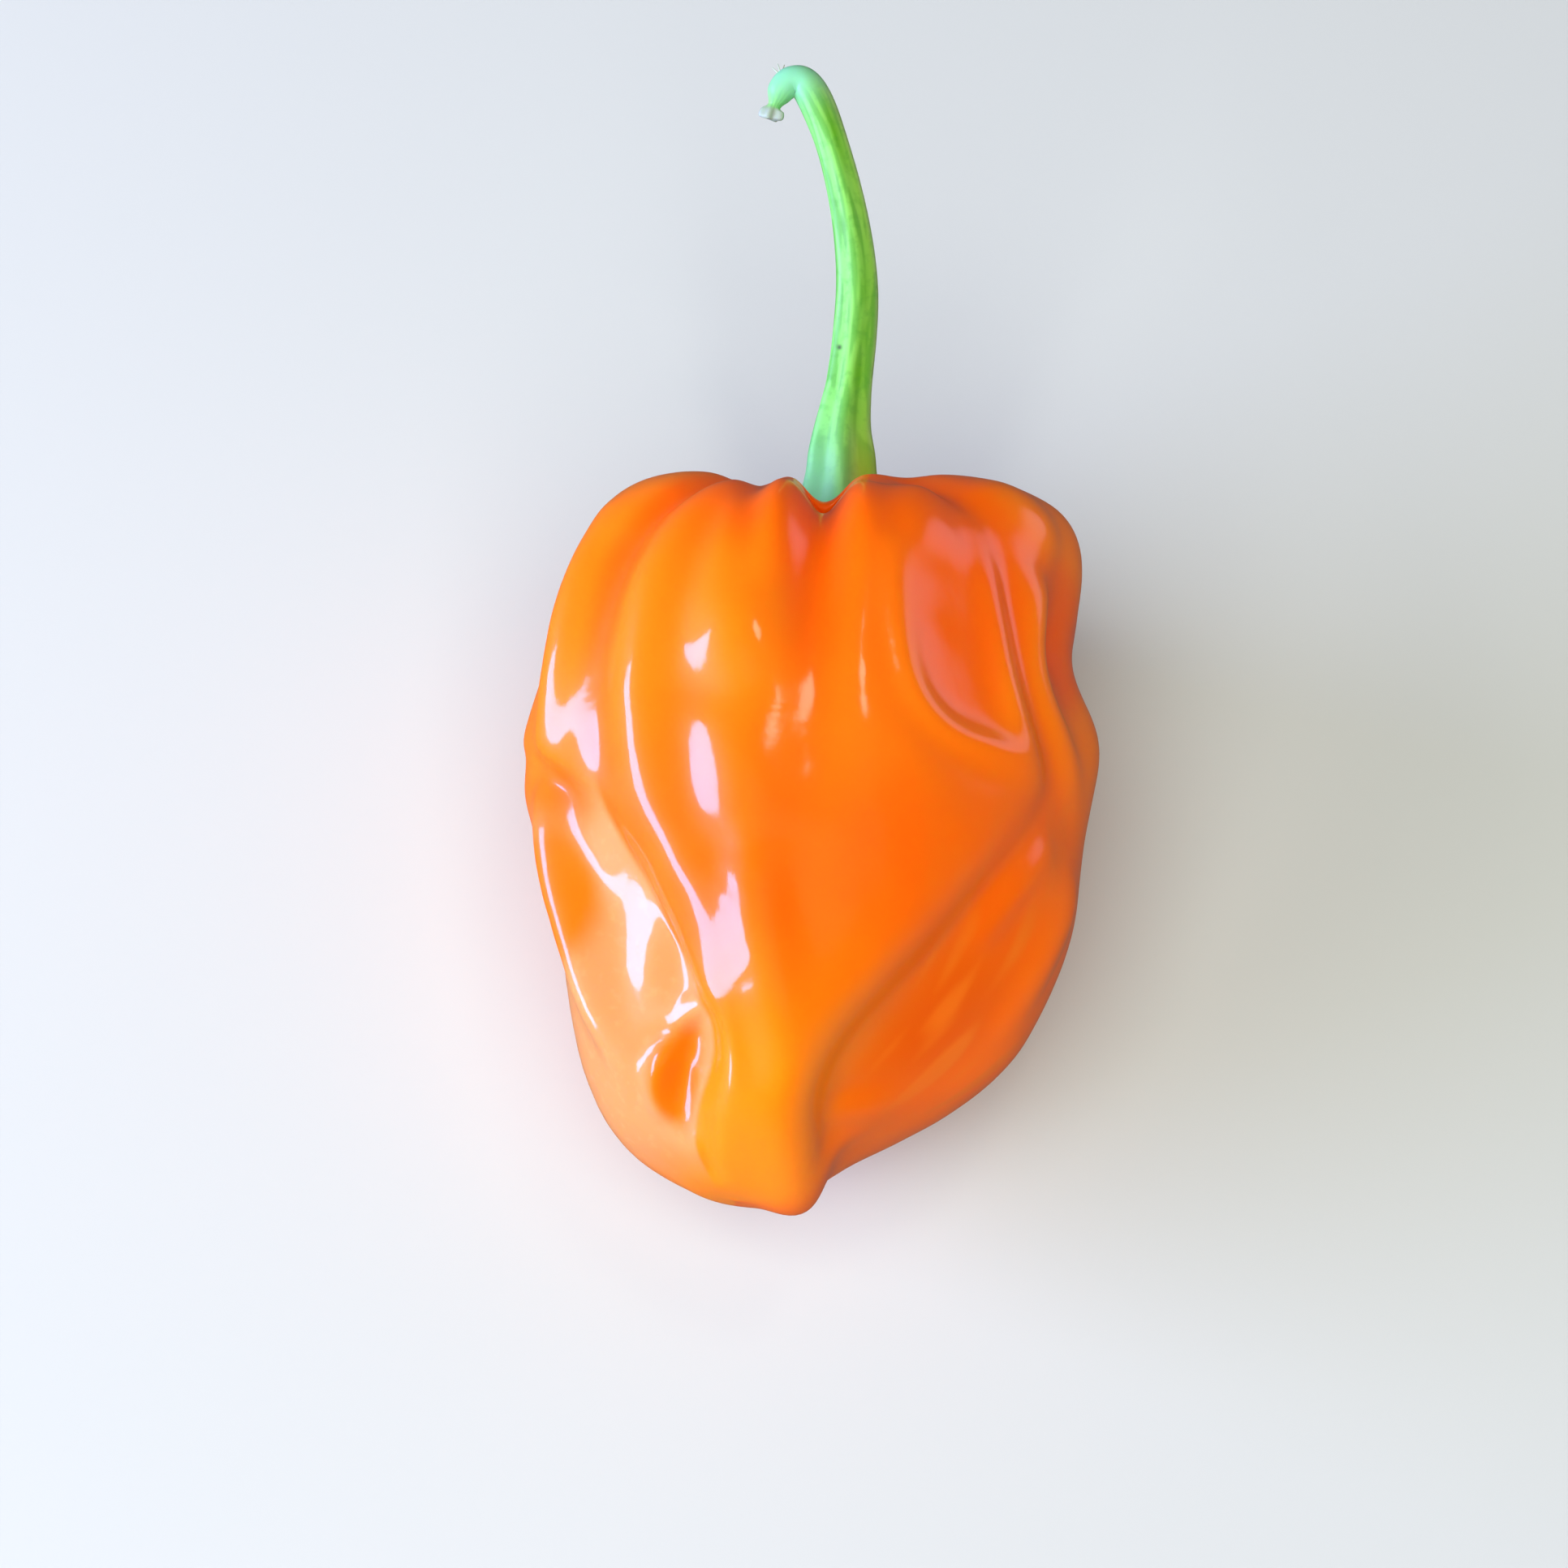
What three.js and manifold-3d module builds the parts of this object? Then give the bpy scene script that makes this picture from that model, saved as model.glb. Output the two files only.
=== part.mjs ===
// Aji chombo: a ripe habanero-type pepper, picked, lying on its belly with its stalk on.
//
// The fruit is one body: a skin of revolution that leans a little to one side at its blossom end,
// pushed in and out along furrows, folds, ribs and dents. The stalk with its calyx is the other
// body. It sits in the hollow between the shoulders, bends over at the end and stops at a torn tip.
//
// The fruit's own axes: X sideways, Y from the blossom end to the stalk, Z up. Angles round the
// axis count from +X, so 90 degrees is the top of the fruit and 270 degrees its belly.
import * as THREE from 'three';
import { mergeVertices } from 'three/addons/utils/BufferGeometryUtils.js';
import Module from 'manifold-3d';

const wasm = await Module();
wasm.setup();

// Driving dimensions, in millimetres and degrees
const POD_LENGTH = 54;        // nominal length from the blossom end to the shoulders
const SECTION_HEIGHT = 0.92;  // height of the fruit's section over its width
const PITCH = 6;              // how far the stalk end is raised when the fruit lies on its belly
const REST_DEPTH = 0.45;      // how much of the soft belly is pressed flat where it lies
const SEAT_STATION = 46.8;    // where the calyx sits, measured from the blossom end
const SEAT_GAP = 0.3;         // clear space between the calyx and the fruit
const STALK_RIBS = 6;

// Meshing
const POD_COLUMNS = 84;
const POD_ROWS = 54;
const TOP_BIAS = 0.28;        // draws columns from the belly to the top, where the fine folds are
const STALK_COLUMNS = 18;
const STALK_ROWS = 64;
const LINE_STEP = 0.7;        // spacing of the samples along a line drawn on the skin
const LINE_BLUR = 1.1;        // least smoothing along such a line
const LINE_FINENESS = 60;     // steps from one point of a line to the next, to measure its length
const LINE_RANGE = 14;        // beyond this distance a line leaves the skin as it is
const LINE_DEPTH = 3;         // least depth under the skin that a line acts on

// Half outline of the fruit: station along the axis and radius, from the blossom end up the side,
// over the shoulder and down into the hollow of the stalk
const OUTLINE = [
  [0, 0], [0.8, 4.4], [4.5, 10], [11, 15], [19, 18], [27.5, 19.4], [36, 19.9],
  [44, 19.4], [49.6, 16.8], [52.2, 12.4], [51.4, 8.4], [49, 5.2], [46.8, 2.6], [46.4, 0],
];

// Lines on the skin. Each point: reach along the outline from the blossom end, angle round the
// axis, height (below zero for a groove) and half width. lee widens the side to the right of the
// line's travel (to the left of it where the number is negative), which turns a groove into a fold.
const LINES = [
  { name: 'main furrow', lee: 1, points: [[70, 95, -1.4, 2], [63.5, 94.5, -2.9, 2],
    [58, 92, -2.9, 2.1], [52, 90.5, -1.9, 2.4], [45, 89, -1, 2.6], [38, 89, -0.4, 2.8],
    [31, 89, 0, 3]] },
  { name: 'furrow left of the main one', lee: 1, points: [[60, 113, -0.2, 1.5],
    [56.5, 114.5, -0.4, 1.6], [53, 116, -0.5, 1.8], [48, 118, -0.45, 2.1], [40, 118.5, -0.4, 2.3],
    [32, 117, -0.3, 2.3]] },
  { name: 'second furrow on the left', lee: 1, points: [[68, 124, -0.7, 1.7],
    [64.5, 127, -1.1, 1.6], [61.8, 128.5, -1.1, 1.6], [59, 131, -1, 1.6], [56, 134, -0.9, 1.8],
    [53, 135.5, -0.8, 1.9], [48, 137, -0.7, 2], [42, 138, -0.6, 2.1], [36, 137, -0.4, 2.2]] },
  { name: 'furrow beside the middle rib', lee: 1, points: [[68, 119, -0.5, 1.5],
    [64.5, 116, -0.9, 1.5], [61.5, 112, -1, 1.4], [58.5, 109, -0.9, 1.4], [55, 106.5, -0.7, 1.5],
    [52, 105, -0.4, 1.6], [48, 103, -0.2, 1.8]] },
  { name: 'rib on the left', lee: 1, points: [[51, 105, 0.25, 2.6], [44, 104, 0.35, 2.6],
    [36, 103, 0.35, 2.8], [31, 103, 0.7, 2.3], [27.5, 103, 1, 2.1], [24, 100, 1, 2.1],
    [21, 96, 0.8, 2.1], [17, 89, 0.4, 2.4]] },
  { name: 'outer rib on the left', lee: 1, points: [[52, 126, 0.3, 2.4], [46, 127, 0.4, 2.4],
    [38, 127, 0.5, 2.6], [33, 126, 0.35, 2.6], [28, 121, 0.1, 2.4]] },
  { name: 'fold under the left shoulder', lee: 1.7, points: [[43.5, 196, -0.1, 1.2],
    [41.3, 178, -0.4, 1.1], [39, 161, -0.9, 1], [37, 154, -1, 1.1], [35.3, 147, -0.7, 1.4],
    [33.5, 139, -0.3, 1.8]] },
  { name: 'left edge of the front plate', lee: 3, points: [[34.5, 141, -0.2, 1.4],
    [30, 137, -1, 1.3], [25.3, 131, -1.7, 1.25], [21, 122, -2.1, 1.2], [18, 114, -2.1, 1.2],
    [15.3, 110, -1.8, 1.2], [13, 111, -1.4, 1.2], [10.3, 114.5, -1, 1.3], [7.5, 118, -0.4, 1.4]] },
  { name: 'left side of the keel', lee: 1, points: [[18.5, 103, -0.3, 1.4], [16, 97, -0.5, 1.6],
    [13.6, 90, -0.4, 1.9]] },
  { name: 'ridge between the left dents', lee: 1, points: [[20.5, 115, 0.3, 1.3],
    [18.3, 123, 0.9, 1.2], [16, 130, 1.1, 1.2], [14.3, 134, 1.1, 1.3], [12.3, 136, 1, 1.3],
    [9.8, 137, 0.6, 1.5]] },
  { name: 'rim beside the left dents', lee: 1, points: [[38.5, 165, 0.3, 1.3],
    [33, 163, 1.3, 1.6], [28.8, 161, 1.6, 1.7], [24.8, 159, 1.6, 1.7], [20.8, 156, 1.4, 1.8],
    [17.5, 152, 0.9, 1.8], [13, 149, 0.2, 2]] },
  { name: 'outermost rib on the left', lee: 1, points: [[59, 150, 0.5, 2.2], [53, 151, 1.1, 2.1],
    [48, 152, 1.3, 2.1], [43, 155, 1, 1.9], [39, 160, 0.4, 1.5]] },
  { name: 'valley beside it', lee: 1, points: [[55, 140, -0.3, 1.8], [50, 141, -0.3, 1.8],
    [45, 143, -0.2, 1.8], [41, 145, 0, 1.8]] },
  { name: 'furrow right of the main one', lee: 1, points: [[64, 77, -0.3, 1.8],
    [57, 76, -0.5, 1.8], [48, 76, -0.35, 2], [40, 74, -0.2, 2]] },
  { name: 'rim of the dent on the right', lee: 1, points: [[53, 75, 0.15, 1.2],
    [46, 72, 0.3, 1.2], [41.5, 68, 0.45, 1.2], [39, 60, 0.55, 1.2], [38.4, 50, 0.6, 1.2],
    [38.2, 41, 0.4, 1.4]] },
  { name: 'rib on the right', lee: 1, points: [[60, 68, 0.4, 1.6], [57, 57, 0.5, 1.5],
    [53.5, 51.5, 0.6, 1.4], [46, 47, 0.6, 1.3], [42, 44, 0.55, 1.3], [37, 36, 0.3, 1.8]] },
  { name: 'fold on the right', lee: 1, points: [[66, 68, -0.6, 1.8], [60.5, 62, -0.9, 1.9],
    [56, 55, -0.85, 1.9], [52, 48, -0.8, 1.8], [47, 43, -0.6, 1.7], [42, 37, -0.6, 1.6],
    [38, 29, -0.4, 1.6]] },
  { name: 'outer rib on the right', lee: 1, points: [[52, 33, 0.5, 1.8], [50, 36, 0.6, 1.7],
    [46, 37, 0.55, 1.6], [43, 33, 0.6, 1.6], [40.5, 25, 0.5, 1.6], [37, 18, 0.2, 2]] },
  { name: 'lobe behind the right fold', lee: 1, points: [[61, 48, 0.7, 2.4], [58, 38, 0.9, 2.4],
    [55, 30, 0.8, 2.2]] },
  { name: 'right edge of the front plate', lee: -1.8, points: [[38, 24, -0.5, 2.1],
    [33.5, 34, -1, 2.3], [28.5, 45, -1.6, 2.5], [23, 54, -1.9, 2.5], [19, 61, -2, 2.5],
    [15, 63, -1.9, 2.3], [11.5, 56, -1.6, 1.8], [8.5, 34, -1, 1.5]] },
  { name: 'low rib on the right', lee: 1, points: [[33.5, 27, 0.3, 1.3], [29.5, 37, 0.6, 1.3],
    [25, 43, 0.4, 1.4]] },
  { name: 'lower rib on the right', lee: 1, points: [[32, 15, 0.3, 1.6], [26, 20, 0.5, 1.6],
    [20, 20, 0.3, 1.8]] },
  { name: 'keel that runs into the nose', lee: 1, points: [[22, 88, 0.3, 3.2], [16, 85, 0.7, 2.8],
    [11, 76, 0.9, 2.6], [7, 52, 1.4, 2.4], [5, 15, 1.7, 2.4], [4.5, -25, 1.2, 2.4]] },
  { name: 'crease at the blossom end', lee: 1, points: [[10.5, 106, -0.2, 0.8],
    [7, 109, -0.35, 0.8], [4, 112, -0.35, 0.9]] },
  { name: 'belly furrow', lee: 1, points: [[66, 275, -1.6, 2.2], [57, 272, -1.6, 2.8],
    [48, 270, -1.5, 3], [38, 268, -1.4, 3], [28, 268, -1, 3], [20, 270, -0.4, 3]] },
  { name: 'furrow on the left flank', lee: 1, points: [[66, 212, -0.8, 1.8], [60, 209, -1.3, 2],
    [53, 206, -1.1, 2.3], [45, 206, -0.7, 2.4], [37, 208, -0.3, 2.4]] },
  { name: 'furrow on the right flank', lee: 1, points: [[66, 332, -0.8, 1.8], [60, 331, -1.3, 2],
    [52, 331, -1.3, 2.4], [42, 333, -1, 2.4], [32, 336, -0.7, 2.6], [22, 340, -0.3, 2.6]] },
  { name: 'short furrow low on the left', lee: 1, points: [[67, 243, -1.2, 1.7],
    [62, 243, -1.6, 1.7], [57, 242, -1.1, 1.9], [50, 240, -0.5, 2.2]] },
  { name: 'short furrow low on the right', lee: 1, points: [[66, 300, -0.6, 1.8],
    [58, 302, -0.8, 2], [50, 303, -0.5, 2.2]] },
];

// Round swellings and dents: reach, angle, half length along the skin, half width, turn in
// degrees, height, and how sharply the edge drops (1 is a plain bell)
const SPOTS = [
  { name: 'low front rim of the hollow', at: [63, 88], size: [5, 14.5], turn: 0, height: -2, edge: 1 },
  { name: 'facet on the left', at: [22, 139], size: [12, 5.5], turn: -8, height: -2.2, edge: 1.2 },
  { name: 'upper left dent', at: [31, 154], size: [5.2, 2.6], turn: 5, height: -0.9, edge: 1 },
  { name: 'bump beside it', at: [24.9, 138.3], size: [4, 2.3], turn: -12, height: 0.7, edge: 1 },
  { name: 'swollen left side of the plate', at: [29.5, 121], size: [6, 2.4], turn: 23, height: 0.7, edge: 1 },
  { name: 'lower left dent', at: [13.3, 124.5], size: [4.4, 2.6], turn: -8, height: -1.3, edge: 1 },
  { name: 'upper swelling of the left rib', at: [46.5, 106], size: [2.8, 2.4], turn: 0, height: 0.3, edge: 1 },
  { name: 'lower swelling of the left rib', at: [36, 105], size: [3, 2.4], turn: 0, height: 0.25, edge: 1 },
  { name: 'dip between the swellings', at: [41, 109], size: [1.7, 3], turn: 0, height: -0.3, edge: 1 },
  { name: 'dip below the swellings', at: [30.5, 109], size: [1.4, 3], turn: 0, height: -0.25, edge: 1 },
  { name: 'broad dent on the right', at: [47, 58], size: [8, 4.6], turn: 4, height: -1.2, edge: 1.5 },
  { name: 'facet on the right', at: [18, 38], size: [9, 7], turn: 20, height: -1.4, edge: 1.2 },
  { name: 'hollow behind the right rib', at: [48.5, 22], size: [5, 3.2], turn: 0, height: -1.7, edge: 1 },
  { name: 'right shoulder', at: [58.5, 14], size: [3.6, 5], turn: 0, height: 0.95, edge: 1 },
  { name: 'waist on the right', at: [49.5, 2], size: [4.8, 7], turn: 0, height: -1.4, edge: 1 },
  { name: 'bulge on the right', at: [42.8, 5], size: [5, 5], turn: 0, height: 1.2, edge: 1 },
  { name: 'slack below the left shoulder', at: [49, 180], size: [7, 6], turn: 0, height: -0.9, edge: 1 },
  { name: 'left shoulder', at: [61, 158], size: [5, 7], turn: 0, height: 1, edge: 1 },
  { name: 'bulge on the left', at: [41.5, 179], size: [5.5, 5], turn: 0, height: 1.2, edge: 1 },
  { name: 'drawn-in corner low on the right', at: [9, 5], size: [4.5, 5], turn: 0, height: -1.3, edge: 1 },
  { name: 'lower cheek on the right', at: [17.5, 8], size: [6, 5], turn: 0, height: 0.9, edge: 1 },
  { name: 'flat beside the blossom end', at: [7, 165], size: [6, 6], turn: 0, height: -1.4, edge: 1 },
  { name: 'rear lobe on the right', at: [61, 285], size: [5, 5], turn: 0, height: 1.6, edge: 1 },
  { name: 'rear lobe on the left', at: [61, 250], size: [5, 5], turn: 0, height: 1.8, edge: 1 },
];

// Centre line of the stalk in the fruit's own axes, from the seat to the torn tip
const STALK_LINE = [
  [1.6, SEAT_STATION - POD_LENGTH / 2, 0], [1.9, 23.5, 0.4], [2.1, 27.1, 1.2], [2.15, 30.5, 2.1],
  [2.6, 34, 3.3], [2.95, 37.3, 4.5], [3.05, 40.5, 5.9], [2.7, 43.7, 7.3], [2, 46.9, 8.7],
  [1, 50.1, 10], [-0.1, 52.7, 10.9], [-1.05, 54.05, 11.4], [-1.95, 54.2, 11.5],
  [-2.6, 53.7, 11.3], [-3, 53, 11], [-3.3, 52.3, 10.7], [-3.5, 51.6, 10.4],
];

// Outline of the stalk: distance along its centre line and radius. The calyx flares over the seat,
// the shaft thins towards the bend, swells to a knob and ends in a neck and a torn rim.
const STALK_OUTLINE = [
  [0, 0], [0.5, 2.6], [1.2, 4], [2, 4.6], [2.7, 4.5], [3.8, 3.8], [5.3, 3.2], [7.5, 2.7],
  [9.3, 2.5], [11.2, 2.15], [13, 1.9], [15, 1.73], [20, 1.65], [24, 1.5], [28, 1.34], [32, 1.24],
  [35, 1.28], [36.6, 1.24], [37.8, 1.1], [38.8, 1.06], [39.5, 0.9], [40.1, 0.55], [40.4, 0.5],
  [40.7, 0.8], [41.1, 0.85], [41.3, 0.6], [41.35, 0],
];
// The plane that the stalk bends in, given by the direction that stands square to it
const STALK_FACE = new THREE.Vector3(0, -0.4, 0.92).normalize();
const RIB_HEIGHT = { calyx: 0.09, shaft: 0.04 };  // over the stalk's radius
const RIB_FADE = { calyx: [8, 20], knob: [30, 36] };
const TOOTH = { at: 2.2, length: 1, height: 0.08 };
const TORN_FROM = [40.3, 40.7];

const radians = THREE.MathUtils.degToRad;
const smooth = THREE.MathUtils.smoothstep;
const bell = (distance, width) => Math.exp(-((distance / width) ** 2));

function curveThrough(points) {
  const curve = new THREE.SplineCurve(points.map(([a, b]) => new THREE.Vector2(a, b)));
  curve.arcLengthDivisions = 1000;
  return curve;
}

const outline = curveThrough(OUTLINE);
const OUTLINE_REACH = outline.getLength();

// How far the centre line lies to the side at a station: the nose swings left, the middle stands
// a little to the right, and the shoulders follow the stalk
function sideways(station) {
  return -4.6 * bell(station, 9) + 0.7 * bell(station - 20, 7)
    + 2.2 * (Math.max(station - 30, 0) / 24) ** 2;
}

// The plain skin at a reach and an angle, before any furrow: its point and outward direction
function skin(reach, angle) {
  const u = THREE.MathUtils.clamp(reach / OUTLINE_REACH, 0, 1);
  const { x: station, y: radius } = outline.getPointAt(u);
  const along = outline.getTangentAt(u);
  const point = new THREE.Vector3(
    sideways(station) + radius * Math.cos(angle),
    station - POD_LENGTH / 2,
    radius * Math.sin(angle) * SECTION_HEIGHT,
  );
  const outward = new THREE.Vector3(
    along.x * Math.cos(angle),
    -along.y,
    along.x * Math.sin(angle) / SECTION_HEIGHT,
  );
  if (radius < 1e-6) {
    outward.set(0, -Math.sign(along.y), 0);
  }
  return { point, outward: outward.normalize() };
}

// Even samples along a line on the skin, each with the directions that its groove is measured in
function sampleLine({ points, lee }) {
  const place = curveThrough(points.map(([reach, angle]) => [reach, radians(angle)]));
  const form = curveThrough(points.map(([, , height, width]) => [height, width]));
  const fine = LINE_FINENESS * (points.length - 1);
  const stops = Array.from({ length: fine + 1 }, (_, i) => {
    const at = place.getPoint(i / fine);
    return skin(at.x, at.y).point;
  });
  const lengths = [0];
  for (let i = 1; i <= fine; i += 1) {
    lengths.push(lengths[i - 1] + stops[i].distanceTo(stops[i - 1]));
  }
  const total = lengths[fine];
  const count = Math.max(3, Math.round(total / LINE_STEP));
  const samples = [];
  let row = 0;
  for (let i = 0; i < count; i += 1) {
    const target = ((i + 0.5) / count) * total;
    while (lengths[row + 1] < target) {
      row += 1;
    }
    const part = (target - lengths[row]) / (lengths[row + 1] - lengths[row]);
    const t = (row + part) / fine;
    const at = place.getPoint(t);
    const { point, outward } = skin(at.x, at.y);
    const { x: height, y: width } = form.getPoint(t);
    samples.push({ point, outward, height, width });
  }
  samples.forEach((sample, i) => {
    const before = samples[Math.max(i - 1, 0)].point;
    const after = samples[Math.min(i + 1, count - 1)].point;
    sample.along = after.clone().sub(before).normalize();
    sample.across = sample.along.clone().cross(sample.outward).normalize();
    sample.blur = Math.max(LINE_BLUR, sample.width * 0.7);
    sample.share = total / count / (sample.blur * Math.sqrt(Math.PI));
    sample.lee = lee;
  });
  return samples;
}

function lineHeight(point, samples) {
  let height = 0;
  for (const sample of samples) {
    const offset = point.clone().sub(sample.point);
    if (offset.length() > LINE_RANGE) {
      continue;
    }
    const side = offset.dot(sample.across);
    const wide = side * Math.sign(sample.lee) > 0 ? sample.width * Math.abs(sample.lee) : sample.width;
    height += sample.height * sample.share * bell(offset.dot(sample.along), sample.blur)
      * bell(side, wide) * bell(offset.dot(sample.outward), Math.max(wide, LINE_DEPTH));
  }
  return height;
}

function placeSpot({ at, size, turn, height, edge }) {
  const angle = radians(at[1]);
  const { point, outward } = skin(at[0], angle);
  const along = skin(at[0] + 0.2, angle).point.sub(point).normalize();
  const across = outward.clone().cross(along).normalize();
  const long = along.clone().multiplyScalar(Math.cos(radians(turn)))
    .addScaledVector(across, Math.sin(radians(turn)));
  const wide = outward.clone().cross(long).normalize();
  return { point, outward, long, wide, size, height, edge };
}

function spotHeight(point, spot) {
  const offset = point.clone().sub(spot.point);
  const deep = Math.max(...spot.size) * 1.2;
  const spread = (offset.dot(spot.long) / spot.size[0]) ** 2
    + (offset.dot(spot.wide) / spot.size[1]) ** 2
    + (offset.dot(spot.outward) / deep) ** 2;
  return spot.height * Math.exp(-(spread ** spot.edge));
}

// Moves each vertex of a ball by its column and row, so that the ball takes another form
function shapedBall(columns, rows, place) {
  const ball = new THREE.SphereGeometry(1, columns, rows);
  const position = ball.attributes.position;
  for (let i = 0; i < position.count; i += 1) {
    const column = i % (columns + 1);
    const row = Math.floor(i / (columns + 1));
    const angle = Math.PI - (2 * Math.PI * (column % columns)) / columns;
    const { x, y, z } = place(angle, 1 - row / rows);
    position.setXYZ(i, x, y, z);
  }
  return ball;
}

function podGeometry() {
  const lines = LINES.map(sampleLine);
  const spots = SPOTS.map(placeSpot);
  return shapedBall(POD_COLUMNS, POD_ROWS, (angle, fraction) => {
    const biased = angle + TOP_BIAS * Math.cos(angle);
    const { point, outward } = skin(fraction * OUTLINE_REACH, biased);
    let height = 0;
    for (const samples of lines) {
      height += lineHeight(point, samples);
    }
    for (const spot of spots) {
      height += spotHeight(point, spot);
    }
    return point.addScaledVector(outward, height);
  });
}

// The stalk, or with a clearance a slightly larger copy of it that makes room for its seat
function stalkGeometry(clearance) {
  const line = new THREE.CatmullRomCurve3(STALK_LINE.map((p) => new THREE.Vector3(...p)));
  const length = line.getLength();
  const profile = curveThrough(STALK_OUTLINE);
  const end = STALK_OUTLINE.at(-1)[0];
  return shapedBall(STALK_COLUMNS, STALK_ROWS, (angle, fraction) => {
    const { x: distance, y: radius } = profile.getPointAt(fraction);
    const u = THREE.MathUtils.clamp((distance / end) * 0.999, 0, 1);
    const along = line.getTangentAt(u);
    const face = STALK_FACE.clone().addScaledVector(along, -STALK_FACE.dot(along)).normalize();
    const side = along.clone().cross(face);
    const wave = Math.cos(STALK_RIBS * (angle - Math.PI / 2));
    const ribs = RIB_HEIGHT.calyx
      - (RIB_HEIGHT.calyx - RIB_HEIGHT.shaft) * smooth(distance, ...RIB_FADE.calyx)
      - RIB_HEIGHT.shaft * smooth(distance, ...RIB_FADE.knob);
    const teeth = TOOTH.height * bell(distance - TOOTH.at, TOOTH.length);
    const torn = smooth(distance, ...TORN_FROM);
    const ragged = 0.16 * Math.sin(3 * angle) + 0.1 * Math.sin(5 * angle + 1);
    const swell = 1 + (ribs + teeth) * wave + torn * ragged;
    const reach = radius * swell + (radius > 0 ? clearance : 0);
    const lift = distance < clearance ? -clearance : 0;
    const slant = torn * 0.12 * Math.sin(2 * angle) * Math.min(radius, 1);
    return line.getPointAt(u)
      .addScaledVector(along, lift + slant)
      .addScaledVector(side, reach * Math.cos(angle))
      .addScaledVector(face, reach * Math.sin(angle));
  });
}

// Closed geometry to a solid that can be cut, and back
function toSolid(geometry) {
  const bare = geometry.clone();
  bare.deleteAttribute('normal');
  bare.deleteAttribute('uv');
  const merged = mergeVertices(bare, 1e-5);
  return new wasm.Manifold(new wasm.Mesh({
    numProp: 3,
    vertProperties: new Float32Array(merged.attributes.position.array),
    triVerts: new Uint32Array(merged.index.array),
  }));
}

function toGeometry(solid) {
  const { vertProperties, triVerts } = solid.getMesh();
  const geometry = new THREE.BufferGeometry();
  geometry.setAttribute('position', new THREE.BufferAttribute(new Float32Array(vertProperties), 3));
  geometry.setIndex(new THREE.BufferAttribute(new Uint32Array(triVerts), 1));
  geometry.computeVertexNormals();
  return geometry;
}

// The fruit is pitched as it lies, and lowered until its belly is pressed flat at height zero
const pitch = new THREE.Matrix4().makeRotationX(radians(PITCH));
const pod = podGeometry().applyMatrix4(pitch);
pod.computeBoundingBox();
const drop = -pod.boundingBox.min.z - REST_DEPTH;
pod.translate(0, 0, drop);
const lying = new THREE.Matrix4().makeTranslation(0, 0, drop).multiply(pitch);
const stalk = stalkGeometry(0).applyMatrix4(lying);
const seat = stalkGeometry(SEAT_GAP).applyMatrix4(lying);

const GROUND_SIZE = 200;
const ground = new THREE.BoxGeometry(GROUND_SIZE, GROUND_SIZE, GROUND_SIZE);
ground.translate(0, 0, -GROUND_SIZE / 2);
const podSolid = toSolid(pod).subtract(toSolid(seat)).subtract(toSolid(ground));
const podShape = toGeometry(podSolid);
const stalkShape = toGeometry(toSolid(stalk));

// The origin is on the surface that the fruit lies on, under the middle of its length and width
const extent = new THREE.Box3();
for (const shape of [podShape, stalkShape]) {
  shape.computeBoundingBox();
  extent.union(shape.boundingBox);
}
const middle = extent.getCenter(new THREE.Vector3());

const skinOrange = new THREE.MeshStandardMaterial({ color: 0xff6d08, roughness: 0.22, metalness: 0 });
const stalkGreen = new THREE.MeshStandardMaterial({ color: 0x7fd048, roughness: 0.5, metalness: 0 });

const pepper = new THREE.Group();
for (const [name, shape, material] of [['pod', podShape, skinOrange], ['stalk', stalkShape, stalkGreen]]) {
  const mesh = new THREE.Mesh(shape, material);
  mesh.name = name;
  mesh.position.set(-middle.x, -middle.y, 0);
  pepper.add(mesh);
}

export default pepper;
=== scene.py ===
import math

import bmesh
import bpy
import numpy as np
from mathutils import Matrix, Vector, noise


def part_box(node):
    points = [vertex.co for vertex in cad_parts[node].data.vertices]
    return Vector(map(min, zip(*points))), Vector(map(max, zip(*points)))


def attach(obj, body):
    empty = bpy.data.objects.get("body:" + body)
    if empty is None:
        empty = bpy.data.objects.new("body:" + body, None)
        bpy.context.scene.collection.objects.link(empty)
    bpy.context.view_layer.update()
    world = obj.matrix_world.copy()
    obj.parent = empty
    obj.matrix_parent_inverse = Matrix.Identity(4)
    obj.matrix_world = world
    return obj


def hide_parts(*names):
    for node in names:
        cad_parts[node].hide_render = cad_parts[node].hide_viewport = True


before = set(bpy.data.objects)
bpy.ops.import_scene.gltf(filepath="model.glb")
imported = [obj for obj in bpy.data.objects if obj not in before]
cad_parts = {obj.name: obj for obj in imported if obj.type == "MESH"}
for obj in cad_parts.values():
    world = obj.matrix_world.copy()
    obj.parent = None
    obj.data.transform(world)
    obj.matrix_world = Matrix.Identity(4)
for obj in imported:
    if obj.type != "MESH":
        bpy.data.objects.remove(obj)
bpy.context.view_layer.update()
pod_low, pod_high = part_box("pod")

# The pod: the ripe fruit, one body with a thin waxy skin over firm flesh. It grew with furrows
# between its lobes, folds where a lobe sank against the next, and dents low on the left.
# Its own axes are X sideways, Y from the blossom end to the stalk and Z up, in millimetres.
POD_LENGTH = 54
SECTION_HEIGHT = 0.92
PITCH = math.radians(6)
REST_DEPTH = 0.45
POD_COLUMNS = 330
POD_ROWS = 220
TOP_BIAS = 0.28
LINE_STEP = 0.5
LINE_BLUR = 1.1
LINE_RANGE = 14
LINE_DEPTH = 3
SPOT_DEPTH_SHARE = 1.2
WAVE_SIZE = 7
WAVE_HEIGHT = 0.14
RIPPLE_SIZE = 3
RIPPLE_HEIGHT = 0.05
FACET_GRAIN_SIZE = 0.9
FACET_GRAIN_HEIGHT = 0.02
BEAD_SIZE = 1.1
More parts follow.
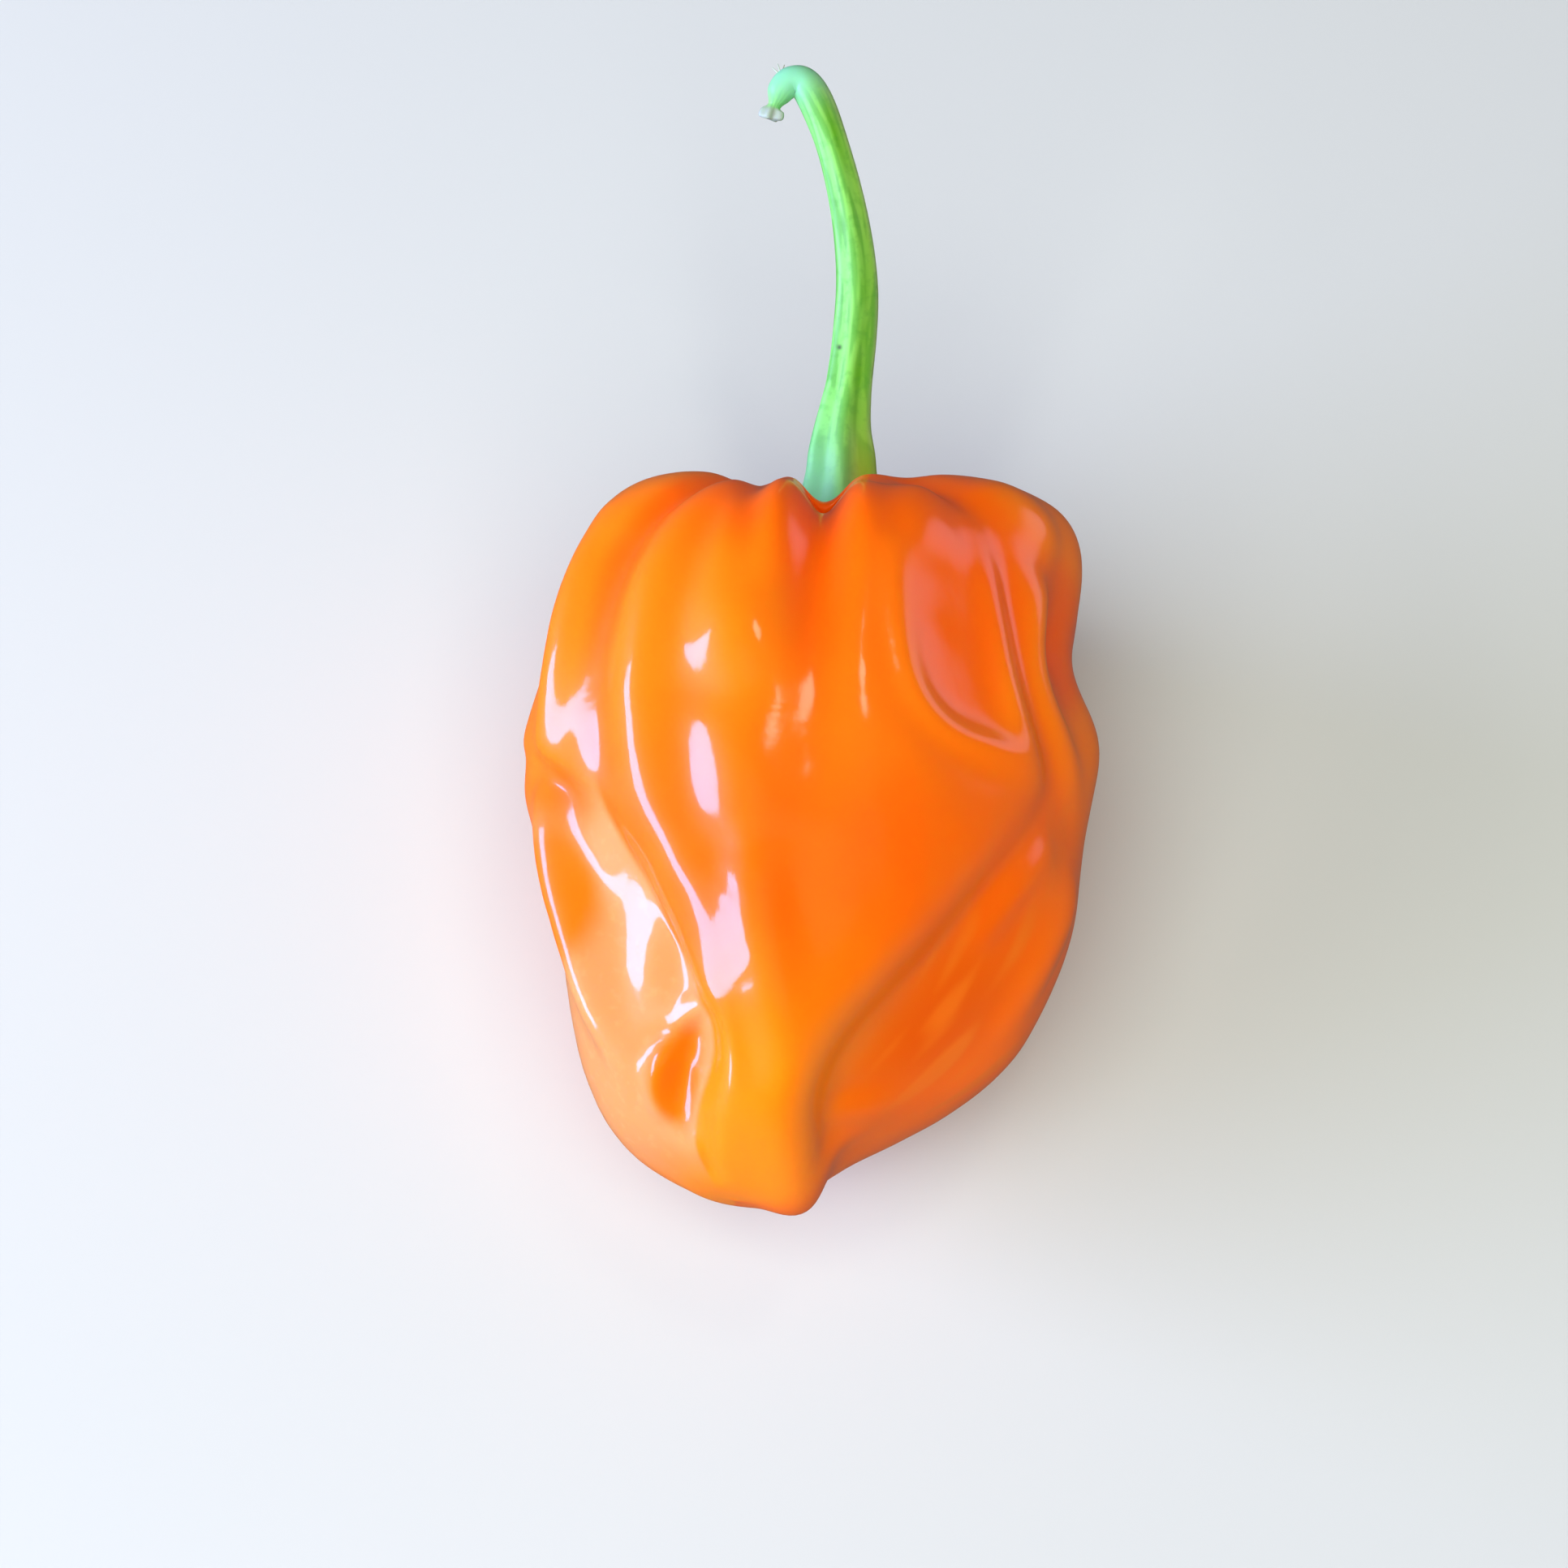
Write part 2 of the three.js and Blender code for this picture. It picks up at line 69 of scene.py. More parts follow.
BEAD_HEIGHT = 0.055
MM = 0.001

# Half outline: station along the axis and radius, from the blossom end to the stalk's hollow
OUTLINE = [
    (0, 0), (0.8, 4.4), (4.5, 10), (11, 15), (19, 18), (27.5, 19.4), (36, 19.9),
    (44, 19.4), (49.6, 16.8), (52.2, 12.4), (51.4, 8.4), (49, 5.2), (46.8, 2.6), (46.4, 0),
]

# Lines on the skin: what each is, how much wider its lee side is (right of its travel, or left
# of it where negative), then points of reach, angle in degrees, height and half width
LINES = [
    ("main furrow", 1, [
        (70, 95, -1.6, 1.6), (63.5, 94.5, -3.2, 1.6), (58, 92, -2.9, 1.9), (52, 90.5, -1.9, 2.4),
        (45, 89, -1, 2.6), (38, 89, -0.4, 2.8), (31, 89, 0, 3),
    ]),
    ("furrow left of the main one", 1, [
        (60, 113, -0.2, 1.5), (56.5, 114.5, -0.4, 1.6), (53, 116, -0.5, 1.8),
        (48, 118, -0.45, 2.1), (40, 118.5, -0.4, 2.3), (32, 117, -0.3, 2.3),
    ]),
    ("second furrow on the left", 1, [
        (68, 124, -0.7, 1.7), (64.5, 127, -1.1, 1.6), (61.8, 128.5, -1.1, 1.6),
        (59, 131, -1, 1.6), (56, 134, -0.9, 1.8), (53, 135.5, -0.8, 1.9), (48, 137, -0.7, 2),
        (42, 138, -0.6, 2.1), (36, 137, -0.4, 2.2),
    ]),
    ("furrow beside the middle rib", 1, [
        (68, 119, -0.5, 1.5), (64.5, 116, -0.9, 1.5), (61.5, 112, -1, 1.4),
        (58.5, 109, -0.9, 1.4), (55, 106.5, -0.7, 1.5), (52, 105, -0.4, 1.6), (48, 103, -0.2, 1.8),
    ]),
    ("rib on the left", 1, [
        (51, 105, 0.25, 2.6), (44, 104, 0.35, 2.6), (36, 103, 0.35, 2.8), (31, 103, 0.7, 2.3),
        (27.5, 103, 1, 2.1), (24, 100, 1, 2.1), (21, 96, 0.8, 2.1), (17, 89, 0.4, 2.4),
    ]),
    ("outer rib on the left", 1, [
        (52, 126, 0.3, 2.4), (46, 127, 0.4, 2.4), (38, 127, 0.5, 2.6), (33, 126, 0.35, 2.6),
        (28, 121, 0.1, 2.4),
    ]),
    ("fold under the left shoulder", 1.7, [
        (43.5, 196, -0.1, 1.2), (41.3, 178, -0.4, 1.1), (39, 161, -0.9, 1), (37, 154, -1, 1.1),
        (35.3, 147, -0.7, 1.4), (33.5, 139, -0.3, 1.8),
    ]),
    ("left edge of the front plate", 3, [
        (34.5, 141, -0.2, 1.4), (30, 137, -1, 1.3), (25.3, 131, -1.7, 1.25), (21, 122, -2.1, 1.2),
        (18, 114, -2.1, 1.2), (15.3, 110, -1.8, 1.2), (13, 111, -1.4, 1.2),
        (10.3, 114.5, -1, 1.3), (7.5, 118, -0.4, 1.4),
    ]),
    ("left side of the keel", 1, [
        (18.5, 103, -0.3, 1.4), (16, 97, -0.5, 1.6), (13.6, 90, -0.4, 1.9),
    ]),
    ("ridge between the left dents", 1, [
        (20.5, 115, 0.3, 1.3), (18.3, 123, 0.9, 1.2), (16, 130, 1.1, 1.2), (14.3, 134, 1.1, 1.3),
        (12.3, 136, 1, 1.3), (9.8, 137, 0.6, 1.5),
    ]),
    ("rim beside the left dents", 1, [
        (38.5, 165, 0.3, 1.3), (33, 163, 1.5, 1.8), (28.8, 160, 1.9, 2), (24.8, 158, 1.8, 1.9),
        (20.8, 156, 1.5, 1.8), (17.5, 152, 0.9, 1.8), (13, 149, 0.2, 2),
    ]),
    ("outermost rib on the left", 1, [
        (59, 150, 0.5, 2.2), (53, 151, 1.1, 2.1), (48, 152, 1.3, 2.1), (43.5, 154.5, 1.1, 2),
        (40.5, 156.5, 0.9, 1.8), (38.5, 159, 0.3, 1.5),
    ]),
    ("valley beside it", 1, [
        (55, 140, -0.3, 1.8), (50, 141, -0.3, 1.8), (45, 143, -0.2, 1.8), (41, 145, 0, 1.8),
    ]),
    ("furrow right of the main one", 1, [
        (64, 77, -0.3, 1.8), (57, 76, -0.5, 1.8), (48, 76, -0.35, 2), (40, 74, -0.2, 2),
    ]),
    ("rim of the dent on the right", 1, [
        (53, 75, 0.15, 1.2), (46, 72, 0.3, 1.2), (41.5, 68, 0.45, 1.2), (39, 60, 0.55, 1.2),
        (38.4, 50, 0.6, 1.2), (38.2, 41, 0.4, 1.4),
    ]),
    ("rib on the right", 1, [
        (60, 68, 0.4, 1.6), (57, 57, 0.5, 1.5), (53.5, 51.5, 0.6, 1.4), (46, 47, 0.6, 1.3),
        (42, 44, 0.55, 1.3), (37, 36, 0.3, 1.8),
    ]),
    ("fold on the right", 1, [
        (66, 68, -0.6, 1.8), (60.5, 62, -0.9, 1.9), (56, 55, -0.85, 1.9), (52, 48, -0.8, 1.8),
        (47, 43, -0.6, 1.7), (42, 37, -0.6, 1.6), (38, 29, -0.4, 1.6),
    ]),
    ("outer rib on the right", 1, [
        (52, 33, 0.5, 1.8), (50, 36, 0.6, 1.7), (46, 37, 0.55, 1.6), (43, 33, 0.6, 1.6),
        (40.5, 25, 0.5, 1.6), (37, 18, 0.2, 2),
    ]),
    ("lobe behind the right fold", 1, [
        (61, 48, 0.7, 2.4), (58, 38, 0.9, 2.4), (55, 30, 0.8, 2.2),
    ]),
    ("right edge of the front plate", -1.8, [
        (38, 24, -0.5, 2.1), (33.5, 34, -1, 2.3), (28.5, 45, -1.6, 2.5), (23, 54, -1.9, 2.5),
        (19, 61, -2, 2.5), (15, 63, -1.9, 2.3), (11.5, 56, -1.6, 1.8), (8.5, 34, -1, 1.5),
    ]),
    ("low rib on the right", 1, [
        (33.5, 27, 0.3, 1.3), (29.5, 37, 0.6, 1.3), (25, 43, 0.4, 1.4),
    ]),
    ("lower rib on the right", 1, [
        (32, 15, 0.3, 1.6), (26, 20, 0.5, 1.6), (20, 20, 0.3, 1.8),
    ]),
    ("keel that runs into the nose", 1, [
        (22, 88, 0.3, 3.2), (16, 85, 0.7, 2.8), (11, 76, 0.9, 2.6), (7, 52, 1.4, 2.4),
        (5, 15, 1.7, 2.4), (4.5, -25, 1.2, 2.4),
    ]),
    ("crease at the blossom end", 1, [
        (10.5, 106, -0.2, 0.8), (7, 109, -0.35, 0.8), (4, 112, -0.35, 0.9),
    ]),
    ("belly furrow", 1, [
        (66, 275, -1.6, 2.2), (57, 272, -1.6, 2.8), (48, 270, -1.5, 3), (38, 268, -1.4, 3),
        (28, 268, -1, 3), (20, 270, -0.4, 3),
    ]),
    ("furrow on the left flank", 1, [
        (66, 212, -0.8, 1.8), (60, 209, -1.3, 2), (53, 206, -1.1, 2.3), (45, 206, -0.7, 2.4),
        (37, 208, -0.3, 2.4),
    ]),
    ("furrow on the right flank", 1, [
        (66, 332, -0.8, 1.8), (60, 331, -1.3, 2), (52, 331, -1.3, 2.4), (42, 333, -1, 2.4),
        (32, 336, -0.7, 2.6), (22, 340, -0.3, 2.6),
    ]),
    ("short furrow low on the left", 1, [
        (67, 243, -1.2, 1.7), (62, 243, -1.6, 1.7), (57, 242, -1.1, 1.9), (50, 240, -0.5, 2.2),
    ]),
    ("short furrow low on the right", 1, [
        (66, 300, -0.6, 1.8), (58, 302, -0.8, 2), (50, 303, -0.5, 2.2),
    ]),
]

# Swellings and dents: what each is, reach, angle, half length, half width, turn, height, edge
SPOTS = [
    ("low front rim of the hollow", 63, 88, 5, 14.5, 0, -2, 1),
    ("facet on the left", 22, 139, 12, 5.5, -8, -2.2, 1.2),
    ("upper left dent", 31, 154, 5.2, 2.6, 5, -0.9, 1),
    ("bump beside it", 24.9, 136.5, 4, 2.3, -12, 0.8, 1),
    ("swollen left side of the plate", 29.5, 121, 6, 2.4, 23, 0.7, 1),
    ("lower left dent", 13.3, 124.5, 4.4, 2.6, -8, -1.3, 1),
    ("upper swelling of the left rib", 45.5, 106, 3, 2.8, 0, 0.45, 1),
    ("lower swelling of the left rib", 36, 105, 3, 2.4, 0, 0.25, 1),
    ("dip between the swellings", 41, 109, 1.7, 3, 0, -0.3, 1),
    ("dip below the swellings", 30.5, 109, 1.4, 3, 0, -0.25, 1),
    ("broad dent on the right", 47, 58, 8, 4.6, 4, -1.2, 1.5),
    ("facet on the right", 18, 38, 9, 7, 20, -1.4, 1.2),
    ("hollow behind the right rib", 48.5, 22, 5, 3.2, 0, -1.7, 1),
    ("right shoulder", 58.5, 14, 3.6, 5, 0, 0.95, 1),
    ("waist on the right", 49.5, 2, 4.8, 7, 0, -1.4, 1),
    ("bulge on the right", 42.8, 5, 5, 5, 0, 1.2, 1),
    ("slack below the left shoulder", 49, 180, 7, 6, 0, -0.9, 1),
    ("left shoulder", 61, 158, 5, 7, 0, 1, 1),
    ("bulge on the left", 41.5, 179, 5.5, 5, 0, 1.2, 1),
    ("drawn-in corner low on the right", 9, 5, 4.5, 5, 0, -1.3, 1),
    ("lower cheek on the right", 17.5, 8, 6, 5, 0, 0.9, 1),
    ("flat beside the blossom end", 7, 165, 6, 6, 0, -1.4, 1),
    ("rear lobe on the right", 61, 285, 5, 5, 0, 1.6, 1),
    ("rear lobe on the left", 61, 250, 5, 5, 0, 1.8, 1),
]


def bell(distance, width):
    return np.exp(-((distance / width) ** 2))


def smooth(value, low, high):
    share = np.clip((value - low) / (high - low), 0, 1)
    return share * share * (3 - 2 * share)


def unit(vectors):
    return vectors / np.linalg.norm(vectors, axis=-1, keepdims=True)


def rows_dot(a, b):
    return np.sum(a * b, axis=-1)


def curve_at(points, t):
    """Points of the uniform Catmull-Rom curve through the given ones, for t from 0 to 1."""
    knots = np.array(points, float)
    last = len(knots) - 1
    place = np.clip(t, 0, 1) * last
    i = np.minimum(np.floor(place).astype(int), last - 1)
    w = (place - i)[..., None]
    before = knots[np.maximum(i - 1, 0)]
    start = knots[i]
    end = knots[i + 1]
    after = knots[np.minimum(i + 2, last)]
    leave = (end - before) / 2
    arrive = (after - start) / 2
    return ((2 * start - 2 * end + leave + arrive) * w**3
            + (3 * end - 3 * start - 2 * leave - arrive) * w**2 + leave * w + start)


def travelled(points):
    """Distance from the first point to each, along the chain of points."""
    steps = np.linalg.norm(np.diff(points, axis=0), axis=1)
    return np.concatenate([[0], np.cumsum(steps)])


outline_t = np.linspace(0, 1, 2001)
outline_reach = travelled(curve_at(OUTLINE, outline_t))
OUTLINE_REACH = outline_reach[-1]
outline_tangents = unit(np.gradient(curve_at(OUTLINE, outline_t), axis=0))


# The nose swings left, the middle bows a little to the right and the shoulders follow the stalk
NOSE_SWING = -4.6
NOSE_REACH = 9
MIDDLE_SWING = 0.7
MIDDLE_STATION = 20
MIDDLE_REACH = 7
SHOULDER_SWING = 2.2
SHOULDER_START = 30


def sideways(station):
    """How far the centre line lies to the side."""
    nose = NOSE_SWING * bell(station, NOSE_REACH)
    middle = MIDDLE_SWING * bell(station - MIDDLE_STATION, MIDDLE_REACH)
    past_middle = np.maximum(station - SHOULDER_START, 0) / (POD_LENGTH - SHOULDER_START)
    return nose + middle + SHOULDER_SWING * past_middle**2


def skin(reach, angle):
    """The plain skin at a reach and an angle, before any furrow: its points and outward directions."""
    t = np.interp(reach, outline_reach, outline_t)
    station, radius = np.moveaxis(curve_at(OUTLINE, t), -1, 0)
    run = np.interp(reach, outline_reach, outline_tangents[:, 0])
    rise = np.interp(reach, outline_reach, outline_tangents[:, 1])
    points = np.stack([sideways(station) + radius * np.cos(angle),
                       station - POD_LENGTH / 2,
                       radius * np.sin(angle) * SECTION_HEIGHT], axis=-1)
    outward = np.stack([run * np.cos(angle), -rise, run * np.sin(angle) / SECTION_HEIGHT], axis=-1)
    pole = radius < 1e-6
    outward[pole] = np.stack([0 * rise, -np.sign(rise), 0 * rise], axis=-1)[pole]
    return points, unit(outward)


def line_heights(points, lee, line):
    """How far a line on the skin lifts or sinks each point."""
    t = np.linspace(0, 1, 60 * (len(line) - 1) + 1)
    turned = [(reach, math.radians(angle), height, width) for reach, angle, height, width in line]
    values = curve_at(turned, t)
    stops = travelled(skin(values[:, 0], values[:, 1])[0])
    count = max(3, round(stops[-1] / LINE_STEP))
    targets = (np.arange(count) + 0.5) / count * stops[-1]
    reach, angle, height, width = (np.interp(targets, stops, column) for column in values.T)
    centres, outward = skin(reach, angle)
    along = unit(np.gradient(centres, axis=0))
    across = unit(np.cross(along, outward))
    blur = np.maximum(LINE_BLUR, width * 0.7)
    share = stops[-1] / count / (blur * math.sqrt(math.pi))
    above = points > centres.min(0) - LINE_RANGE
    below = points < centres.max(0) + LINE_RANGE
    near = np.all(above & below, axis=1)
    close = points[near]
    sums = np.zeros(len(close))
    for i in range(count):
        offset = close - centres[i]
        side = offset @ across[i]
        wide = np.where(side * math.copysign(1, lee) > 0, width[i] * abs(lee), width[i])
        sums += (height[i] * share[i] * bell(offset @ along[i], blur[i]) * bell(side, wide)
                 * bell(offset @ outward[i], np.maximum(wide, LINE_DEPTH)))
    heights = np.zeros(len(points))
    heights[near] = sums
    return heights


def spot_heights(points, reach, angle, length, width, turn, height, edge):
    """How far a swelling or dent lifts or sinks each point."""
    turn = math.radians(turn)
    reaches = np.array([reach, reach + 0.2])
    (centre, ahead), (outward, _) = skin(reaches, np.full(2, math.radians(angle)))
    along = unit(ahead - centre)
    across = np.cross(outward, along)
    long = along * math.cos(turn) + across * math.sin(turn)
    wide = unit(np.cross(outward, long))
    offset = points - centre
    spread = ((offset @ long / length) ** 2 + (offset @ wide / width) ** 2
              + (offset @ outward / (SPOT_DEPTH_SHARE * max(length, width))) ** 2)
    return height * np.exp(-(spread**edge))


def ripple(points, size, seed):
    """Soft random unevenness from -1 to 1, with waves about as long as size."""
    shift = Vector((seed * 17.3, seed * 5.1, seed * 11.7))
    return np.array([noise.noise(Vector(p) / size + shift) for p in points])


def add_values(mesh, name, values):
    mesh.attributes.new(name, "FLOAT", "POINT").data.foreach_set("value", values.astype(np.float32))


def new_piece(name, bm):
    """Turns a finished bmesh into a smooth-shaded object at the origin."""
    bmesh.ops.recalc_face_normals(bm, faces=bm.faces)
    for face in bm.faces:
        face.smooth = True
    mesh = bpy.data.meshes.new(name)
    bm.to_mesh(mesh)
    bm.free()
    piece = bpy.data.objects.new(name, mesh)
    bpy.context.scene.collection.objects.link(piece)
    return piece


def ball_places(bm):
    """Each vertex of a ball as the angle round its axis and the share of the way from foot to top."""
    co = np.array([vertex.co for vertex in bm.verts])
    angle = -np.arctan2(co[:, 1], co[:, 0])
    share = 1 - np.arccos(np.clip(co[:, 2], -1, 1)) / math.pi
    return angle, share


def move_vertices(bm, points):
    for vertex, point in zip(bm.verts, points):
        vertex.co = point


pod_ball = bmesh.new()
bmesh.ops.create_uvsphere(pod_ball, u_segments=POD_COLUMNS, v_segments=POD_ROWS, radius=1)
ball_angle, ball_share = ball_places(pod_ball)
angle = ball_angle + TOP_BIAS * np.cos(ball_angle)
reach = ball_share * OUTLINE_REACH
plain, outward = skin(reach, angle)
relief = np.zeros(len(plain))
for _, lee, line in LINES:
    relief += line_heights(plain, lee, line)
for _, *spot in SPOTS:
    relief += spot_heights(plain, *spot)
uneven = WAVE_HEIGHT * ripple(plain, WAVE_SIZE, 1) + RIPPLE_HEIGHT * ripple(plain, RIPPLE_SIZE, 2)
poles = smooth(reach, 0, 4) * smooth(OUTLINE_REACH - reach, 0, 4)

# The pale facet low on the left starts at the front plate's left edge, given here as reach and
# angle in degrees, and fades out under the left shoulder, at the nose and round to the belly
PLATE_EDGE = [
    (7.5, 118), (10.3, 114.5), (13, 111), (15.3, 110), (18, 114), (21, 122), (25.3, 131),
    (30, 137), (34.5, 141),
]
FACET_TOP = 37
FACET_TOP_WAVER = 2.5
FACET_BELLY_SIDE = 228
degrees = (np.degrees(angle) + 90) % 360 - 90
edge_reach, edge_degrees = np.array(PLATE_EDGE).T
past_edge = degrees - np.interp(reach, edge_reach, edge_degrees)
below_top = FACET_TOP - reach + FACET_TOP_WAVER * ripple(plain, 5, 9)
facet = (smooth(past_edge, -1.5, 2) * smooth(FACET_BELLY_SIDE - degrees, 0, 50)
         * smooth(below_top, -2, 5) * smooth(reach, 2, 9))

# Fine grain roughens the facet, and the skin is beaded low on the left rib
beaded = bell(reach - 25, 6) * bell(degrees - 106, 7)
grain = (FACET_GRAIN_HEIGHT * facet * ripple(plain, FACET_GRAIN_SIZE, 3)
         + BEAD_HEIGHT * beaded * ripple(plain, BEAD_SIZE, 4))
formed = plain + outward * (relief + uneven * poles + grain)[:, None]

# The fruit is pitched as it lies and its soft belly is pressed flat on the surface
turn_up = np.array(Matrix.Rotation(PITCH, 3, "X"))
lying = formed @ turn_up.T
drop = -lying[:, 2].min() - REST_DEPTH
cad_middle = (np.array(pod_low) + np.array(pod_high)) / 2 / MM
own_middle = (lying.min(0) + lying.max(0)) / 2
place = np.array([cad_middle[0] - own_middle[0], cad_middle[1] - own_middle[1], drop])
lying += place
lying[:, 2] = np.maximum(lying[:, 2], 0)
move_vertices(pod_ball, lying * MM)
pod = new_piece("pepper_skin", pod_ball)

# Where the colour changes, from 0 to 1: the facet is a pale amber, partly its own colour and partly
# painted sheen, with two orange dents; the nose is a warmer, lighter amber, partly its own colour and
# partly painted light; the shoulders are painted lighter as sheen; the furrows are painted a deeper
# orange as shade; and the valley low on the right is painted darker as shade and faintly streaked
# lengthwise
DEEPEST_FURROW = 2.2
upper_dent = bell(reach - 30, 5.6) * bell(degrees - 160, 10)
lower_dent = bell(reach - 13, 5) * bell(degrees - 127, 13)
# Outside its two dents, the facet is a pale amber: partly its own lighter colour, partly painted sheen
# of the window light
pale = facet * (1 - smooth(np.maximum(upper_dent, lower_dent), 0.2, 0.7))
# The nose is a lighter amber, partly its own colour and partly painted light where it faces away from
# the lamps
nose = smooth(28 - reach, 0, 14) * smooth(degrees, 15, 60)
# Painted shade: the deeper a furrow sinks, the darker its orange is painted
deep = np.clip(-relief / DEEPEST_FURROW, 0, 1) * smooth(reach, 26, 40)
# Painted sheen: the shoulders, away from the furrows, are painted lighter, as the sheen of the bright
# room and the window
shoulder = smooth(reach, 31, 45) * smooth(relief, -1.1, 0)
streak_places = np.stack([np.cos(angle) * 9, np.sin(angle) * 9, reach * 0.12], axis=-1)
low_right = bell(reach - 22, 12) * bell(degrees - 25, 35)
streaks = smooth(ripple(streak_places, 0.8, 5), 0, 0.5) * low_right
# Painted shade: the valley low on the right is darkened where it sinks
valley = bell(reach - 19, 9) * bell(degrees - 40, 22) * smooth(-relief, -0.2, 1)
skin_values = {"facet": facet, "pale": pale, "nose": nose, "deep": deep, "valley": valley,
               "streaks": streaks, "shoulder": shoulder}
for name, values in skin_values.items():
    add_values(pod.data, name, values)


def new_material(name):
    material = bpy.data.materials.new(name)
    material.use_nodes = True
    return material, material.node_tree.nodes["Principled BSDF"]


def add_node(material, kind, inputs=None, **settings):
    """A node of the material. An input is a value, or the output that it is linked from."""
    node = material.node_tree.nodes.new(kind)
    for key, value in settings.items():
        setattr(node, key, value)
    for key, value in (inputs or {}).items():
        if isinstance(value, bpy.types.NodeSocket):
            material.node_tree.links.new(value, node.inputs[key])
        else:
            node.inputs[key].default_value = value
    return node


def link(material, output, socket):
    material.node_tree.links.new(output, socket)


def colour_mix(material, share, a, b):
    """The colour between a and b, by a share from 0 to 1."""
    mix = add_node(material, "ShaderNodeMix", data_type="RGBA")
    for socket, value in ((mix.inputs[0], share), (mix.inputs[6], a), (mix.inputs[7], b)):
        if isinstance(value, bpy.types.NodeSocket):
            link(material, value, socket)
        else:
            socket.default_value = value
    return mix.outputs[2]


def value_of(material, name):
    return add_node(material, "ShaderNodeAttribute", attribute_name=name).outputs["Fac"]


def ramp_between(material, source, low, high, top):
    """Black where the source is low, rising to the top colour where it is high."""
    ramp = add_node(material, "ShaderNodeValToRGB", {"Fac": source})
    first, last = ramp.color_ramp.elements
    first.position = low
    first.color = BLACK
    last.position = high
    last.color = top
    return ramp.outputs["Color"]


def mixed_by(material, base, name, colour):
    """The base, turned to the colour as far as the mesh's values of that name say."""
    return colour_mix(material, value_of(material, name), base, colour)


def scaled_value(material, name, factor):
    """The mesh's values of that name, times a factor."""
    product = add_node(material, "ShaderNodeMath", {0: value_of(material, name), 1: factor},
                       operation="MULTIPLY")
    return product.outputs["Value"]


def noise_of(material, waves, detail):
    """Procedural noise in the object's own coordinates, with that many waves a metre."""
    where = add_node(material, "ShaderNodeTexCoord").outputs["Object"]
    cloud = add_node(material, "ShaderNodeTexNoise", {"Vector": where, "Scale": waves, "Detail": detail})
    return cloud.outputs["Fac"]


def set_inputs(shader, values):
    for name, value in values.items():
        shader.inputs[name].default_value = value


SKIN_ORANGE = (0.96, 0.138, 0.0002, 1)
SKIN_LIGHT = (0.98, 0.165, 0.0004, 1)
SKIN_SHOULDER_SHEEN = (0.98, 0.205, 0.002, 1)
SKIN_FURROW_SHADE = (0.95, 0.115, 0.0001, 1)
SKIN_AMBER_AND_LIGHT = (0.96, 0.25, 0.0008, 1)
SKIN_DENT = (0.96, 0.17, 0.0003, 1)
SKIN_PALE_AND_SHEEN = (0.7, 0.28, 0.085, 1)
SKIN_SPECK_GLINT = (0.74, 0.31, 0.1, 1)
SKIN_SHADE = (0.76, 0.1, 0.0002, 1)
SKIN_STREAK = (0.86, 0.17, 0.006, 1)
WHITE = (1, 1, 1, 1)
BLACK = (0, 0, 0, 1)
NOSE_WARMTH_AND_LIGHT = 0.8
BLOTCHES_A_METRE = 90
SPECKS_A_METRE = 1100
PORES_A_METRE = 900

skin_paint, skin_shader = new_material("waxy_pepper_skin")
blotches = ramp_between(skin_paint, noise_of(skin_paint, BLOTCHES_A_METRE, 3), 0.35, 0.7, WHITE)
orange = colour_mix(skin_paint, blotches, SKIN_ORANGE, SKIN_LIGHT)
# Painted sheen: the shoulders turn lighter
orange = mixed_by(skin_paint, orange, "shoulder", SKIN_SHOULDER_SHEEN)
# Painted shade in the furrows
orange = mixed_by(skin_paint, orange, "deep", SKIN_FURROW_SHADE)
# Lighter amber on the nose: partly its own colour, partly painted light
orange = colour_mix(skin_paint, scaled_value(skin_paint, "nose", NOSE_WARMTH_AND_LIGHT), orange, SKIN_AMBER_AND_LIGHT)
# Painted shade in the valley low on the right
orange = mixed_by(skin_paint, orange, "valley", SKIN_SHADE)
orange = mixed_by(skin_paint, orange, "streaks", SKIN_STREAK)
orange = mixed_by(skin_paint, orange, "facet", SKIN_DENT)
# Painted glints: small lighter specks on the pale facet
glint_specks = ramp_between(skin_paint, noise_of(skin_paint, SPECKS_A_METRE, 2), 0.56, 0.72, WHITE)
amber = colour_mix(skin_paint, glint_specks, SKIN_PALE_AND_SHEEN, SKIN_SPECK_GLINT)
# Pale amber on the facet: partly its own colour, partly painted sheen
orange = mixed_by(skin_paint, orange, "pale", amber)
link(skin_paint, orange, skin_shader.inputs["Base Color"])
set_inputs(skin_shader, {
    "Roughness": 0.45, "Specular IOR Level": 0.2,
    "Subsurface Weight": 0.3, "Subsurface Radius": (1, 0.32, 0.08), "Subsurface Scale": 0.003,
    "Coat Weight": 0.45, "Coat Roughness": 0.1, "Coat IOR": 1.8,
})
pores = noise_of(skin_paint, PORES_A_METRE, 2)
dimples = add_node(skin_paint, "ShaderNodeBump", {"Height": pores, "Strength": 0.06, "Distance": 0.0002})
link(skin_paint, dimples.outputs["Normal"], skin_shader.inputs["Normal"])
link(skin_paint, dimples.outputs["Normal"], skin_shader.inputs["Coat Normal"])
pod.data.materials.append(skin_paint)
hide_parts("pod")
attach(pod, "root")

# The stalk: one green piece that the plant grew. Its calyx flares over the hollow between the
# shoulders, six low ribs run up the shaft, and it bends over to a pale knob and the torn tip
# where it was snapped off.
SEAT_STATION = 46.8
STALK_COLUMNS = 96
STALK_ROWS = 420
STALK_RIBS = 6
RIB_HEIGHT = 0.09
SHAFT_RIB_HEIGHT = 0.04
TOOTH_HEIGHT = 0.08
TOOTH_PLACE = 2.2
TORN_LEAN = 0.12

